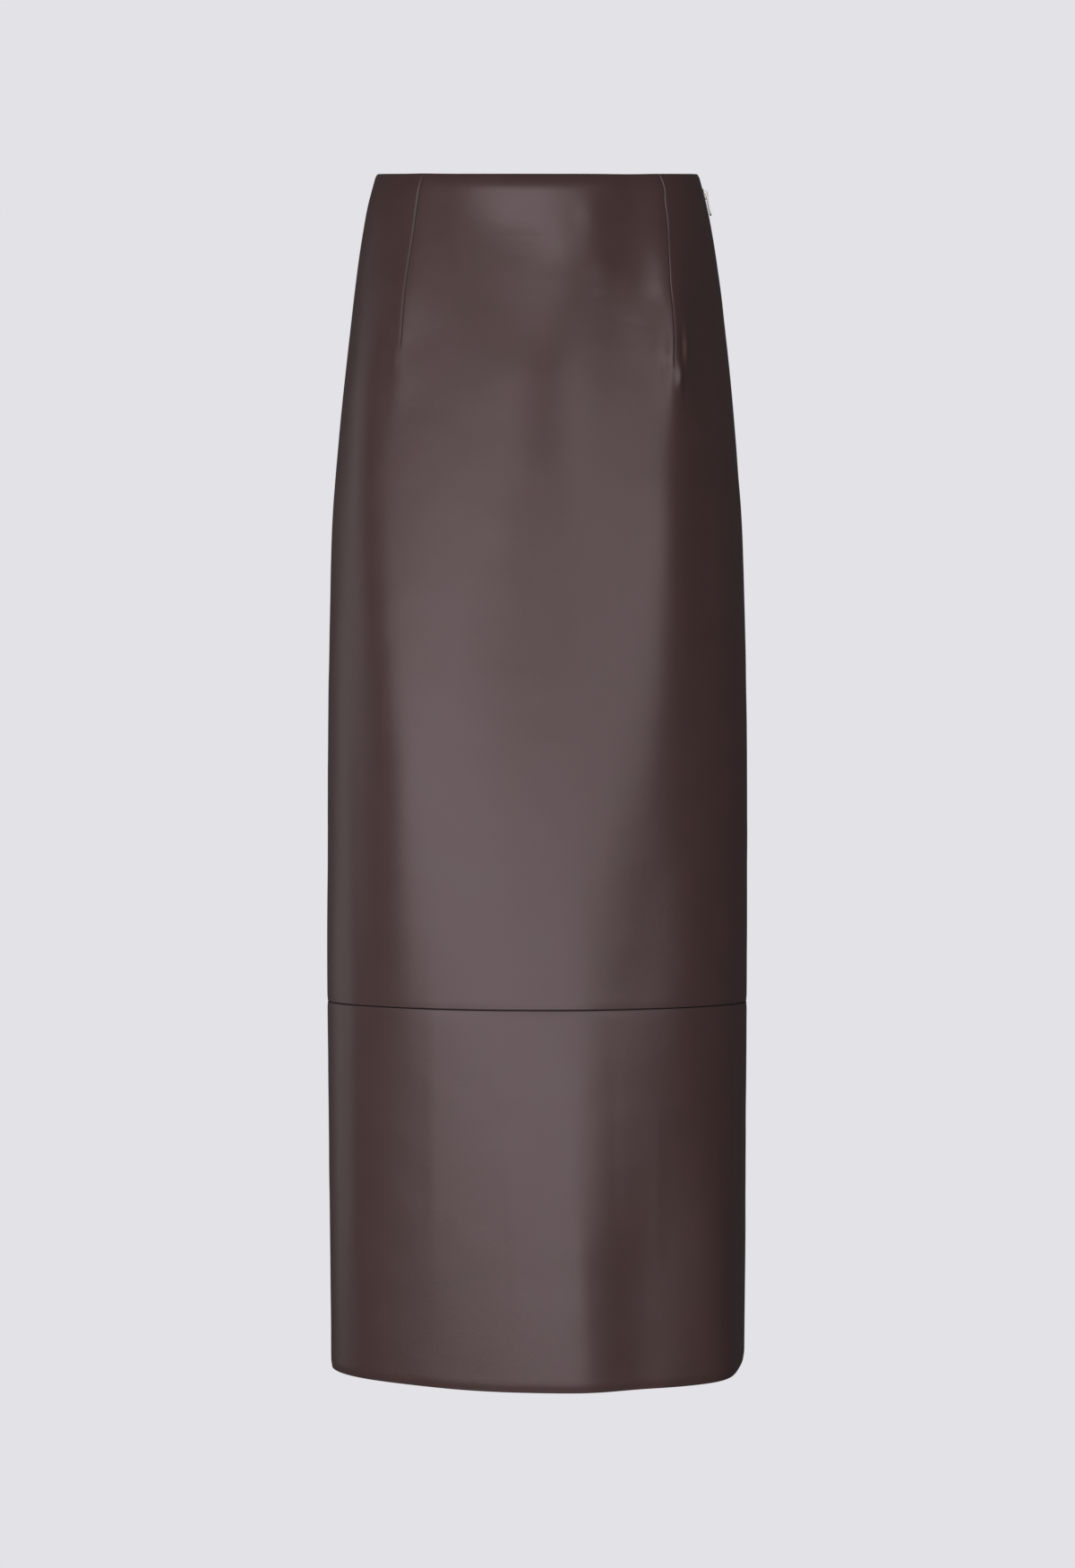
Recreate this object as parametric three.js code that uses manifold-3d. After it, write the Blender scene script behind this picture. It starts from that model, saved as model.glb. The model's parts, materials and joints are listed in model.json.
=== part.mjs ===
// Long straight leather skirt, filled out as it hangs on a wearer.
// Millimetres, +Z up, origin at the centre of the waist opening, level with the tops of the side seams.
// The front faces -Y, and the wearer's left side, with the zip, is +X.
import * as THREE from 'three';
import { mergeVertices } from 'three/addons/utils/BufferGeometryUtils.js';
import Module from 'manifold-3d';

const wasm = await Module();
wasm.setup();

const skirtLength = 948;      // top of the side seam to the hem
const hemLift = { height: 7.5, angle: 92, halfAngle: 24 };   // the hem hangs higher at the zip's side
const seamDrop = 657;         // top of the side seam to the seam between upper and lower panels
const frontDip = 15;          // the waist edge at centre front below the side seams
const backDip = 8;            // the same at centre back
const dipRounding = 0.14;     // rounds the waist edge where it passes over a side seam
const wall = 1.5;             // leather, backed by its turned allowances
const seamGap = 0.3;          // between two panels along a seam
const seamRoll = { depth: 0.7, reach: 3 };   // panels roll in to the seam that joins them

// Sections of the whole tube. Drop is measured down from the top of the side seam.
const sections = [
  { drop: 0, halfWidth: 128.4, frontDepth: 86.5, backDepth: 89, lean: 0 },
  { drop: 30, halfWidth: 136.0, frontDepth: 97.5, backDepth: 99, lean: 0 },
  { drop: 75, halfWidth: 143.4, frontDepth: 105.5, backDepth: 112, lean: 0 },
  { drop: 145, halfWidth: 151.6, frontDepth: 112, backDepth: 124, lean: 0 },
  { drop: 220, halfWidth: 158.8, frontDepth: 116, backDepth: 129, lean: 0 },
  { drop: 290, halfWidth: 163.6, frontDepth: 119, backDepth: 128, lean: -1 },
  { drop: 430, halfWidth: 166.8, frontDepth: 122, backDepth: 124, lean: -3 },
  { drop: 570, halfWidth: 167.2, frontDepth: 122, backDepth: 122, lean: -3 },
  { drop: 657, halfWidth: 167.0, frontDepth: 122, backDepth: 121, lean: -1 },
  { drop: 800, halfWidth: 165.9, frontDepth: 122, backDepth: 120, lean: 6 },
  { drop: 950, halfWidth: 164.3, frontDepth: 122, backDepth: 120, lean: 12 },
];

// Soft folds, each pair of values for its top and its foot. Angles run round from centre front, plus
// towards the wearer's left. A trough has a height under 0. The ends die away over the fade lengths.
const folds = [
  // At the belly: the right dart's seam stands proud, swellings, and the hollow beside them
  { angle: [-43, -43], drop: [20, 90], halfAngle: 8, height: 1.8, fade: [35, 35] },
  { angle: [-9, -9], drop: [58, 60], halfAngle: 14, height: 1.3, fade: [24, 24] },
  { angle: [10, 9], drop: [92, 98], halfAngle: 13, height: 3.2, fade: [34, 60] },
  { angle: [-7, -5], drop: [148, 160], halfAngle: 15, height: 5.6, fade: [52, 130] },
  { angle: [37, 37], drop: [88, 100], halfAngle: 9, height: 4.2, fade: [28, 58] },
  { angle: [33, 32.5], drop: [30, 70], halfAngle: 9, height: -2.6, fade: [30, 30] },
  // Over the thighs: the left edge slants in towards the knee, and the right edge mirrors it more softly
  { angle: [44, 38], drop: [92, 250], halfAngle: 12, height: 6.6, fade: [36, 150] },
  { angle: [34, 19], drop: [400, 590], halfAngle: 12, height: 1.4, fade: [110, 110] },
  { angle: [-47, -50], drop: [105, 200], halfAngle: 12, height: 2.4, fade: [34, 60] },
  { angle: [-61, -37], drop: [190, 470], halfAngle: 13, height: 3.4, fade: [80, 120] },
  // Above the knee and at the hem
  { angle: [30, 27], drop: [600, 630], halfAngle: 12, height: -2.4, fade: [70, 50] },
  { angle: [26, 26], drop: [885, 925], halfAngle: 11, height: -5.2, fade: [75, 65] },
  { angle: [55, 57], drop: [875, 935], halfAngle: 12, height: 6.4, fade: [90, 65] },
  { angle: [12, 8], drop: [740, 960], halfAngle: 9, height: 1.8, fade: [90, 90] },
  { angle: [-44, -42], drop: [760, 980], halfAngle: 22, height: -6, fade: [160, 160] },
  // On the back, below the seat, and the hollow above it
  { angle: [160, 150], drop: [300, 900], halfAngle: 13, height: -3, fade: [180, 180] },
  { angle: [-158, -146], drop: [330, 900], halfAngle: 13, height: -2.6, fade: [180, 180] },
  { angle: [128, 122], drop: [350, 960], halfAngle: 14, height: 2.2, fade: [160, 160] },
  { angle: [-120, -126], drop: [420, 960], halfAngle: 14, height: 2.2, fade: [160, 160] },
  { angle: [180, 180], drop: [0, 40], halfAngle: 26, height: -3, fade: [60, 60] },
];

// Sewn darts: a crease from the waist edge to the point, and the fullness let out below it.
const darts = [
  { topAngle: -42.2, tipAngle: -43.0, tipDrop: 141, swell: 1.4 },
  { topAngle: 46.8, tipAngle: 40.4, tipDrop: 157, swell: 2.2 },
  { topAngle: 148, tipAngle: 149, tipDrop: 128, swell: 1.8 },
  { topAngle: -148, tipAngle: -149, tipDrop: 128, swell: 1.8 },
];
const dartCrease = { depth: 0.9, halfWidth: 2.4, fade: 16 };
const dartSwell = { halfWidth: 11, above: 55, below: 42 };

// The walking slit at centre back
const slit = { topDrop: 700, hemWidth: 12 };

// The concealed zip in the wearer's left side seam
const zip = {
  length: 205, tapeWidth: 24, tapeThickness: 1, tapeTop: 6, tapeGap: 0.5,
  sliderDrop: 15, plateLength: 8.5, plateWidth: 5, plateThickness: 0.8,
  bridgeLength: 5, bridgeWidth: 1.4, bridgeStock: 0.6, bridgeRoom: 1.8,
};
const pull = {
  barRadius: 0.5, windowHalfWidth: 1.15, armWidth: 0.9, windowEnd: 4, neckEnd: 5.5,
  length: 18, tipHalfWidth: 2.9, neckHalfWidth: 1.8, thickness: 1.2, sides: 12,
  restTilt: 2.5,   // degrees towards the leather, until it lies on the slider's plate
};

const rad = THREE.MathUtils.degToRad;
const bump = t => Math.exp(-t * t);
const smooth = t => { const c = Math.min(1, Math.max(0, t)); return c * c * (3 - 2 * c); };

// A section value at a drop, on one smooth curve through the table's rows.
function atDrop(column, drop) {
  const last = sections.length - 1;
  let i = 0;
  while (i < last - 1 && drop > sections[i + 1].drop) i++;
  const slope = k => {
    const a = sections[Math.max(0, k - 1)], b = sections[Math.min(last, k + 1)];
    return (b[column] - a[column]) / (b.drop - a.drop);
  };
  const p = sections[i], q = sections[i + 1], span = q.drop - p.drop;
  const t = (drop - p.drop) / span;
  return p[column] * (1 + 2 * t) * (1 - t) ** 2 + q[column] * t * t * (3 - 2 * t)
    + slope(i) * span * t * (1 - t) ** 2 - slope(i + 1) * span * t * t * (1 - t);
}

// The plain ring at a drop: an ellipse with its own front and back depths.
function ringPoint(angle, drop) {
  const c = Math.cos(rad(angle)), s = Math.sin(rad(angle));
  const depth = atDrop(c > 0 ? 'frontDepth' : 'backDepth', drop);
  return new THREE.Vector2(
    atDrop('halfWidth', drop) * s + atDrop('lean', drop) * Math.max(0, c) ** 2,
    -depth * c,
  );
}

function ringNormal(angle, drop) {
  const step = 0.5;
  const along = ringPoint(angle + step, drop).sub(ringPoint(angle - step, drop)).normalize();
  return new THREE.Vector2(along.y, -along.x);
}

// Degrees between two angles, the short way round
const turn = (a, b) => THREE.MathUtils.euclideanModulo(a - b + 180, 360) - 180;

function foldHeight(angle, drop) {
  let height = 0;
  for (const f of folds) {
    const [top, foot] = f.drop;
    const along = Math.min(1, Math.max(0, (drop - top) / (foot - top)));
    const centre = f.angle[0] + (f.angle[1] - f.angle[0]) * along;
    const past = Math.max(0, top - drop) / f.fade[0] + Math.max(0, drop - foot) / f.fade[1];
    height += f.height * bump(turn(angle, centre) / f.halfAngle) * bump(past);
  }
  return height;
}

// Millimetres round the skirt from a dart's line
const mmPerDegree = 2.35;
function fromDart(dart, angle, drop) {
  const centre = dart.topAngle + (dart.tipAngle - dart.topAngle) * Math.min(1, drop / dart.tipDrop);
  return turn(angle, centre) * mmPerDegree;
}

function dartCreaseHeight(angle, drop) {
  let height = 0;
  for (const d of darts) {
    const across = bump(fromDart(d, angle, drop) / dartCrease.halfWidth);
    height -= dartCrease.depth * across * smooth((d.tipDrop - drop) / dartCrease.fade);
  }
  return height;
}

function dartSwellHeight(angle, drop) {
  let height = 0;
  for (const d of darts) {
    const past = drop - d.tipDrop;
    const reach = past < 0 ? dartSwell.above : dartSwell.below;
    height += d.swell * bump(fromDart(d, angle, drop) / dartSwell.halfWidth) * bump(past / reach);
  }
  return height;
}

const seamHeight = drop => -seamRoll.depth * bump((drop - seamDrop) / seamRoll.reach);

// A point of the leather, moved in from its outer face. The flesh side is plain behind a crease.
function leather(angle, drop, inward = 0) {
  const creases = inward ? 0 : dartCreaseHeight(angle, drop) + seamHeight(drop);
  const relief = foldHeight(angle, drop) + dartSwellHeight(angle, drop) + creases;
  const p = ringPoint(angle, drop).addScaledVector(ringNormal(angle, drop), relief - inward);
  return new THREE.Vector3(p.x, p.y, -drop);
}

const waistDrop = angle => {
  const c = Math.cos(rad(angle));
  const rounded = (Math.hypot(c, dipRounding) - dipRounding) / (Math.hypot(1, dipRounding) - dipRounding);
  return (c > 0 ? frontDip : backDip) * rounded;
};

const hemDrop = angle => skirtLength - hemLift.height * bump(turn(angle, hemLift.angle) / hemLift.halfAngle);

// A closed wall between an outer and an inner grid of points.
// Columns run round the skirt and rows run down it.
function wallGeometry(columns, rows, pointAt) {
  const position = [], index = [];
  const at = (layer, i, j) => (layer * columns + i) * rows + j;
  for (let layer = 0; layer < 2; layer++)
    for (let i = 0; i < columns; i++)
      for (let j = 0; j < rows; j++) position.push(...pointAt(layer, i, j));
  const quad = (a, b, c, d) => index.push(a, b, c, a, c, d);
  for (let i = 0; i + 1 < columns; i++)
    for (let j = 0; j + 1 < rows; j++) {
      quad(at(0, i, j), at(0, i, j + 1), at(0, i + 1, j + 1), at(0, i + 1, j));
      quad(at(1, i, j), at(1, i + 1, j), at(1, i + 1, j + 1), at(1, i, j + 1));
    }
  for (let i = 0; i + 1 < columns; i++) {
    quad(at(0, i, 0), at(0, i + 1, 0), at(1, i + 1, 0), at(1, i, 0));
    quad(at(0, i, rows - 1), at(1, i, rows - 1), at(1, i + 1, rows - 1), at(0, i + 1, rows - 1));
  }
  for (let j = 0; j + 1 < rows; j++) {
    quad(at(0, 0, j), at(1, 0, j), at(1, 0, j + 1), at(0, 0, j + 1));
    quad(at(0, columns - 1, j), at(0, columns - 1, j + 1), at(1, columns - 1, j + 1), at(1, columns - 1, j));
  }
  return new THREE.BufferGeometry()
    .setAttribute('position', new THREE.Float32BufferAttribute(position, 3))
    .setIndex(index);
}

// Shares from 0 to 1, closer together near the listed places.
function shares(count, crowd = []) {
  const weight = t => 1 + crowd.reduce((sum, c) => sum + c.gain * bump((t - c.at) / c.reach), 0);
  const fine = 400, total = [0];
  for (let k = 0; k < fine; k++) total.push(total[k] + weight((k + 0.5) / fine));
  return Array.from({ length: count }, (_, i) => {
    const wanted = (total[fine] * i) / (count - 1);
    let k = total.findIndex(t => t >= wanted);
    k = Math.max(1, k);
    return i === count - 1 ? 1 : (k - 1 + (wanted - total[k - 1]) / (total[k] - total[k - 1])) / fine;
  });
}

// One panel of leather between two edges, each an angle that may change with the drop.
function panel({ leftAngle, rightAngle, topDrop, footDrop, across, down }) {
  return wallGeometry(across.length, down.length, (layer, i, j) => {
    const angleAt = drop => leftAngle(drop) + (rightAngle(drop) - leftAngle(drop)) * across[i];
    const dropAt = angle => topDrop(angle) + (footDrop(angle) - topDrop(angle)) * down[j];
    const angle = angleAt(dropAt(angleAt(0)));
    return leather(angle, dropAt(angle), layer * wall);
  });
}

// Half a seam's gap as an angle, beside a side seam or at centre back
const degrees = THREE.MathUtils.radToDeg;
const sideGap = drop => degrees(seamGap / 2 / atDrop('frontDepth', drop));
const slitHalfWidth = drop => {
  const opened = smooth((drop - slit.topDrop) / (skirtLength - slit.topDrop));
  return seamGap / 2 + (slit.hemWidth / 2 - seamGap / 2) * opened;
};
const slitAngle = drop => degrees(Math.asin(slitHalfWidth(drop) / atDrop('halfWidth', drop)));

const aboveSeam = () => seamDrop - seamGap / 2;
const belowSeam = () => seamDrop + seamGap / 2;
const frontLeft = drop => -90 + sideGap(drop);
const frontRight = drop => 90 - sideGap(drop);

// Crowds the grid lines of an upper panel round its two darts, its side seams and the joining seam.
const upperColumns = (dart, panelMiddle) => {
  const share = Math.abs(turn(dart.topAngle, panelMiddle)) / 180;
  return [
    { at: 0.5 - share, gain: 2.4, reach: 0.035 },
    { at: 0.5 + share, gain: 2.4, reach: 0.035 },
    { at: 0, gain: 1.5, reach: 0.08 },
    { at: 1, gain: 1.5, reach: 0.08 },
  ];
};
const upperRows = [{ at: 0.1, gain: 1.5, reach: 0.22 }, { at: 1, gain: 7, reach: 0.02 }];
const lowerRows = [{ at: 0, gain: 5, reach: 0.04 }];

const leatherMaterial = new THREE.MeshStandardMaterial({ color: 0x4a3534, roughness: 0.42, metalness: 0 });
const tapeMaterial = new THREE.MeshStandardMaterial({ color: 0x3a2b2a, roughness: 0.9, metalness: 0 });
const nickelMaterial = new THREE.MeshStandardMaterial({ color: 0xd8d6d0, roughness: 0.4, metalness: 1 });

function named(name, geometry, material) {
  const mesh = new THREE.Mesh(geometry, material);
  mesh.name = name;
  return mesh;
}

function leatherPanels() {
  const group = new THREE.Group();
  const add = (name, spec) => group.add(named(name, panel(spec), leatherMaterial));
  add('front_panel', {
    leftAngle: frontLeft, rightAngle: frontRight, topDrop: waistDrop, footDrop: aboveSeam,
    across: shares(49, upperColumns(darts[0], 0)), down: shares(26, upperRows),
  });
  add('back_panel', {
    leftAngle: drop => 90 + sideGap(drop), rightAngle: drop => 270 - sideGap(drop),
    topDrop: waistDrop, footDrop: aboveSeam,
    across: shares(45, upperColumns(darts[2], 180)), down: shares(26, upperRows),
  });
  add('front_lower_panel', {
    leftAngle: frontLeft, rightAngle: frontRight, topDrop: belowSeam, footDrop: hemDrop,
    across: shares(37), down: shares(13, lowerRows),
  });
  add('back_lower_left', {
    leftAngle: drop => 90 + sideGap(drop), rightAngle: drop => 180 - slitAngle(drop),
    topDrop: belowSeam, footDrop: hemDrop, across: shares(17), down: shares(13, lowerRows),
  });
  add('back_lower_right', {
    leftAngle: drop => 180 + slitAngle(drop), rightAngle: drop => 270 - sideGap(drop),
    topDrop: belowSeam, footDrop: hemDrop, across: shares(17), down: shares(13, lowerRows),
  });
  return group;
}

function solid(geometry) {
  const bare = geometry.clone();
  bare.deleteAttribute('normal');
  bare.deleteAttribute('uv');
  const merged = mergeVertices(bare);
  return new wasm.Manifold(new wasm.Mesh({
    numProp: 3,
    vertProperties: merged.attributes.position.array,
    triVerts: new Uint32Array(merged.index.array),
  }));
}

function geometryOf(manifold) {
  const { vertProperties, triVerts } = manifold.getMesh();
  return new THREE.BufferGeometry()
    .setAttribute('position', new THREE.BufferAttribute(new Float32Array(vertProperties), 3))
    .setIndex(new THREE.BufferAttribute(new Uint32Array(triVerts), 1));
}

// A box given by its low and high corners
function block(low, high) {
  const size = new THREE.Vector3().subVectors(high, low);
  return new THREE.BoxGeometry(size.x, size.y, size.z)
    .translate((low.x + high.x) / 2, (low.y + high.y) / 2, (low.z + high.z) / 2);
}
const v3 = (x, y, z) => new THREE.Vector3(x, y, z);

// The tape lies flat behind the side seam, just clear of the leather.
function zipTape() {
  const columns = 5, rows = 12;
  return wallGeometry(columns, rows, (layer, i, j) => {
    const drop = zip.tapeTop + (zip.length - zip.tapeTop) * (j / (rows - 1));
    const halfAngle = degrees(zip.tapeWidth / 2 / atDrop('frontDepth', drop));
    const angle = 90 + halfAngle * ((2 * i) / (columns - 1) - 1);
    return leather(angle, drop, wall + zip.tapeGap + layer * zip.tapeThickness);
  });
}

// The slider's own frame: x points out of the leather, y to the back, z up along the seam.
// Its origin is the middle of the pull's bar.
const barHeight = seamGap + zip.plateThickness + zip.bridgeRoom / 2;
function sliderPlace() {
  const top = leather(90, zip.sliderDrop - zip.plateLength / 2);
  const foot = leather(90, zip.sliderDrop + zip.plateLength / 2);
  const tilt = Math.atan2(foot.x - top.x, top.z - foot.z);
  const middle = leather(90, zip.sliderDrop);
  return { tilt, origin: middle.add(v3(Math.cos(tilt), 0, Math.sin(tilt)).multiplyScalar(barHeight)) };
}

// Plate, with a bridge over it that holds the pull's bar. The bridge's feet are let into the plate.
function zipSlider() {
  const halfBridge = zip.bridgeLength / 2, halfWidth = zip.bridgeWidth / 2;
  const roomTop = zip.bridgeRoom / 2, plateTop = -roomTop;
  const plateBack = plateTop - zip.plateThickness;
  const plate = block(
    v3(plateBack, -zip.plateWidth / 2, -zip.plateLength / 2),
    v3(plateTop, zip.plateWidth / 2, zip.plateLength / 2),
  );
  const bridge = block(
    v3((plateBack + plateTop) / 2, -halfWidth, -halfBridge),
    v3(roomTop + zip.bridgeStock, halfWidth, halfBridge),
  );
  const room = block(
    v3(plateTop, -zip.plateWidth, -halfBridge + zip.bridgeStock),
    v3(roomTop, zip.plateWidth, halfBridge - zip.bridgeStock),
  );
  return geometryOf(solid(plate).add(solid(bridge).subtract(solid(room))));
}

// The tab hangs by its two arms from a bar, which passes under the bridge. It widens to a round end.
function zipPull() {
  const arm = pull.windowHalfWidth + pull.armWidth;
  const endCentre = -pull.length + pull.tipHalfWidth;
  const outline = new THREE.Shape();
  outline.moveTo(-arm, 0);
  outline.lineTo(-pull.neckHalfWidth, -pull.neckEnd);
  outline.lineTo(-pull.tipHalfWidth, endCentre);
  outline.absarc(0, endCentre, pull.tipHalfWidth, Math.PI, 2 * Math.PI, false);
  outline.lineTo(pull.neckHalfWidth, -pull.neckEnd);
  outline.lineTo(arm, 0);
  // Drawn in the plane of the seam, then turned so that its thickness points out.
  const options = { depth: pull.thickness, bevelEnabled: false, curveSegments: pull.sides };
  const tab = new THREE.ExtrudeGeometry(outline, options)
    .translate(0, 0, -pull.thickness / 2)
    .rotateX(Math.PI / 2)
    .rotateZ(Math.PI / 2);
  const window = block(
    v3(-pull.thickness, -pull.windowHalfWidth, -pull.windowEnd),
    v3(pull.thickness, pull.windowHalfWidth, pull.barRadius),
  );
  const bar = new THREE.CylinderGeometry(pull.barRadius, pull.barRadius, 2 * arm, pull.sides);
  return geometryOf(solid(tab).subtract(solid(window)).add(solid(bar)));
}

function zipParts() {
  const group = new THREE.Group();
  group.add(named('zip_tape', zipTape(), tapeMaterial));
  const { tilt, origin } = sliderPlace();
  const metal = new THREE.Group();
  metal.position.copy(origin);
  metal.rotation.y = -tilt;
  metal.add(named('zip_slider', zipSlider(), nickelMaterial));
  const tab = named('zip_pull', zipPull(), nickelMaterial);
  tab.rotation.y = rad(pull.restTilt);
  metal.add(tab);
  group.add(metal);
  return group;
}

const skirt = new THREE.Group();
skirt.add(leatherPanels(), zipParts());

export default skirt;
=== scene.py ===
import json
import math
import bpy
import numpy as np
from mathutils import Matrix, Vector


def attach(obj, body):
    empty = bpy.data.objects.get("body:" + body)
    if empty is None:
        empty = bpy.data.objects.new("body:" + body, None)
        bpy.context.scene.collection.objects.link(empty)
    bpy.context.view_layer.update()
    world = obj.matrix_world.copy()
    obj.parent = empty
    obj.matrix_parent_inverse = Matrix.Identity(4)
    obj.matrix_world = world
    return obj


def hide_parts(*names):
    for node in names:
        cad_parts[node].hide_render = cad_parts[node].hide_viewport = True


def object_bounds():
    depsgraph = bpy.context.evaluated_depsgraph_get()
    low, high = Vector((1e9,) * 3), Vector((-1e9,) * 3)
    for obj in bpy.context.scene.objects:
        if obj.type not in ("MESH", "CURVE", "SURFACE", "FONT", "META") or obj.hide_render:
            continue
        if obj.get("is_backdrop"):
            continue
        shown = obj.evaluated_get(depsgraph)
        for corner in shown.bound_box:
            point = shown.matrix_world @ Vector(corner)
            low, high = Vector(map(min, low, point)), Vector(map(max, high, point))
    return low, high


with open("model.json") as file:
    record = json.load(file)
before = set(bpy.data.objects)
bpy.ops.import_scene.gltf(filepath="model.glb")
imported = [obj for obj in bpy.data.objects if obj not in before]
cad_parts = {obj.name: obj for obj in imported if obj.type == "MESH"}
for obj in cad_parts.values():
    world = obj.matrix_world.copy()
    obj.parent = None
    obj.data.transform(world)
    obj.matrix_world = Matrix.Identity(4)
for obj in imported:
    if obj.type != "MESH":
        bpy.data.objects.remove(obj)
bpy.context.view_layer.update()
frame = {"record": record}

mm = 0.001

# Long straight leather skirt, filled out as worn. Sizes below are millimetres and degrees.
# A drop is measured down from the tops of the side seams. An angle runs round from centre front,
# plus towards the wearer's left, which is +X. The front faces -Y.
skirt = {
    "length": 948.0,
    "hemLift": 7.5, "hemLiftAngle": 92.0, "hemLiftHalf": 24.0,   # the hem hangs higher at the zip's side
    "seamDrop": 657.0, "seamGap": 0.3,                           # the level seam
    "uprightSeamGap": 0.04,                                      # so narrow that no light comes through
    "frontDip": 15.0, "backDip": 8.0, "dipRounding": 0.14,       # of the waist edge
    "thickness": 0.9,                                            # one layer of nappa
    "slitTop": 700.0, "slitHemWidth": 12.0,                      # walking slit at centre back
    "ringDrop": 430.0,                                           # where the panels' widths are measured
}

sections = [
    dict(drop=0, halfWidth=128.4, frontDepth=86.5, backDepth=89, lean=0),
    dict(drop=30, halfWidth=136.0, frontDepth=97.5, backDepth=99, lean=0),
    dict(drop=75, halfWidth=143.4, frontDepth=105.5, backDepth=112, lean=0),
    dict(drop=145, halfWidth=151.6, frontDepth=112, backDepth=124, lean=0),
    dict(drop=220, halfWidth=158.8, frontDepth=116, backDepth=129, lean=0),
    dict(drop=290, halfWidth=163.6, frontDepth=119, backDepth=128, lean=-1),
    dict(drop=430, halfWidth=166.8, frontDepth=122, backDepth=124, lean=-3),
    dict(drop=570, halfWidth=167.2, frontDepth=122, backDepth=122, lean=-3),
    dict(drop=657, halfWidth=167.0, frontDepth=122, backDepth=121, lean=-1),
    dict(drop=800, halfWidth=165.9, frontDepth=122, backDepth=120, lean=6),
    dict(drop=950, halfWidth=164.3, frontDepth=122, backDepth=120, lean=12),
]

# Soft folds, as ridges and troughs:
# (top angle, foot angle, top drop, foot drop, half angle, height, fade above, fade below)
folds = [
    (-43, -43, 20, 90, 8, 1.8, 35, 35),        # the right dart's seam stands proud
    (-9, -9, 58, 60, 14, 1.3, 24, 24),         # belly
    (10, 10, 92, 98, 13, 3.2, 34, 110),
    (18, 18, 50, 84, 5, 1.0, 15, 24),          # ends the belly's light abruptly
    (1, 1, 180, 196, 16, 6.6, 76, 130),
    (41, 41, 116, 118, 9, 3.8, 25, 56),        # beside the left dart
    (-35, -35, 104, 106, 7, 0.9, 20, 34),
    (33, 32.5, 30, 70, 9, -2.6, 30, 30),       # hollow beside the belly
    (44, 38, 92, 250, 12, 6.6, 36, 150),       # left thigh's edge, slanting in towards the knee
    (34, 19, 400, 590, 12, 1.4, 110, 110),
    (-47, -50, 105, 200, 12, 2.4, 34, 60),     # right thigh's edge
    (-61, -37, 190, 470, 13, 3.4, 80, 120),
    (29, 28, 600, 630, 12, -2.4, 70, 50),      # hollow above the knee
    (26, 26, 885, 925, 11, -5.2, 75, 65),      # oval hollow at the hem
    (55, 57, 875, 935, 12, 6.4, 90, 65),
    (12, 8, 740, 960, 9, 1.8, 90, 90),
    (-44, -42, 760, 980, 22, -6.0, 160, 160),  # flattened right front, down to the hem
    (160, 150, 300, 900, 13, -3.0, 180, 180),  # below the seat
    (-158, -146, 330, 900, 13, -2.6, 180, 180),
    (128, 122, 350, 960, 14, 2.2, 160, 160),
    (-120, -126, 420, 960, 14, 2.2, 160, 160),
    (180, 180, 0, 40, 26, -3.0, 60, 60),       # hollow of the back above the seat
]

darts = [     # a bend is (drop, degrees, reach): no dart is sewn quite straight
    dict(topAngle=-42.2, tipAngle=-43.0, tipDrop=141, swell=1.4, pucker=0.15, pad=0.25,
         bends=[(60, 0.3, 30)]),
    dict(topAngle=46.8, tipAngle=40.4, tipDrop=157, swell=2.2, pucker=1.0, pad=1.0,
         bends=[(21, 1.0, 9), (46, 0.9, 18), (104, -1.3, 30)]),
    dict(topAngle=148, tipAngle=149, tipDrop=128, swell=1.8, pucker=0.5, pad=0.4,
         bends=[(50, -0.4, 25)]),
    dict(topAngle=-148, tipAngle=-149, tipDrop=128, swell=1.8, pucker=0.4, pad=0.3,
         bends=[(70, 0.5, 30)]),
]
dartShape = {
    "creaseDepth": 1.15, "innerReach": 1.5, "outerReach": 1.45,      # of the sewn line, on its two sides
    "creaseFade": 12.0, "pastTip": 7.0,
    "padHeight": 1.1, "padReach": 11.0, "padTop": 85.0, "padFade": 45.0,   # the intake under its centre side
    "swellHalf": 11.0, "swellAbove": 55.0, "swellBelow": 42.0,
    # the shadow painted along a dart's line: its width, its shift to the centre side, and where it stops and
    # fades above the point
    "shadowWidth": 0.7, "shadowInside": 0.25, "shadowStop": 8.0, "shadowFade": 10.0,
    "mmPerDegree": 2.35,
    "touching": 0.01,            # mm past the line that still belong to its centre side
    "gridReach": 14.0,           # degrees over which the mesh's lines lean with a dart
}

print("skirt: surface functions")


def bump(t):
    return np.exp(-np.square(t))


def smooth(t):
    c = np.clip(t, 0.0, 1.0)
    return c * c * (3.0 - 2.0 * c)


def turn(a, b):
    return np.mod(a - b + 180.0, 360.0) - 180.0    # degrees between two angles, the short way round


def roll(distance, radius):
    # how far an edge turned over that radius has dropped in, at a distance from it
    near = np.clip(radius - distance, 0, radius)
    return radius - np.sqrt(np.maximum(radius ** 2 - near ** 2, 0))


def atDrop(column, drop):
    # one smooth curve through the table's rows
    at = np.array([row["drop"] for row in sections], float)
    value = np.array([row[column] for row in sections], float)
    last = len(at) - 1
    before = np.maximum(np.arange(last + 1) - 1, 0)
    after = np.minimum(np.arange(last + 1) + 1, last)
    slope = (value[after] - value[before]) / (at[after] - at[before])
    i = np.clip(np.searchsorted(at, drop, side="left") - 1, 0, last - 1)
    span = at[i + 1] - at[i]
    t = (drop - at[i]) / span
    return (value[i] * (1 + 2 * t) * (1 - t) ** 2 + value[i + 1] * t * t * (3 - 2 * t)
            + slope[i] * span * t * (1 - t) ** 2 - slope[i + 1] * span * t * t * (1 - t))


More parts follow.
